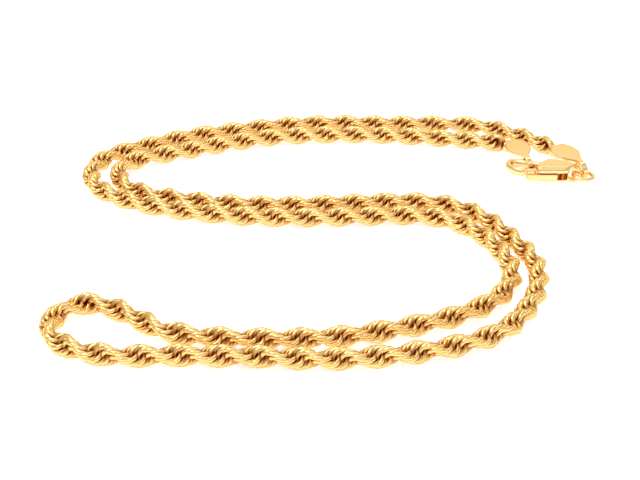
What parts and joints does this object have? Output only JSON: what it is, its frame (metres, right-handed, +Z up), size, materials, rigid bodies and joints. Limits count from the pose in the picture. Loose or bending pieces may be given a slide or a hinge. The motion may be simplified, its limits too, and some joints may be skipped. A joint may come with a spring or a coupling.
{
  "type": "rope chain",
  "caption": "Rope chain necklace with leaf-shaped end tags, a jump ring and a sprung lobster clasp, lying folded double in an S.",
  "frame": {"origin": "middle of the laid chain's outline, on the surface it lies on", "axes": "+X to the right, +Y away from the viewer of the picture, +Z up from the surface"},
  "size_m": [0.1064, 0.1034, 0.0043],
  "materials": {
    "rope_gold": "polished",
    "clasp_gold": "polished"
  },
  "bodies": {
    "necklace": {"chain_a": "rope_gold", "chain_b": "rope_gold", "end_tag_a": "clasp_gold", "end_tag_b": "clasp_gold", "jump_ring": "clasp_gold", "clasp_body": "clasp_gold"},
    "lever": {"clasp_lever": "clasp_gold"}
  },
  "joints": [
    {"name": "lever_pivot", "type": "hinge", "parent": "necklace", "child": "lever", "pos_m": [0.0455, 0.0239, 0.0015], "axis": [0, 0, -1], "range_deg": [0, 12], "stiffness_Nm_per_rad": 0.01, "springref_deg": -5.73}
  ]
}
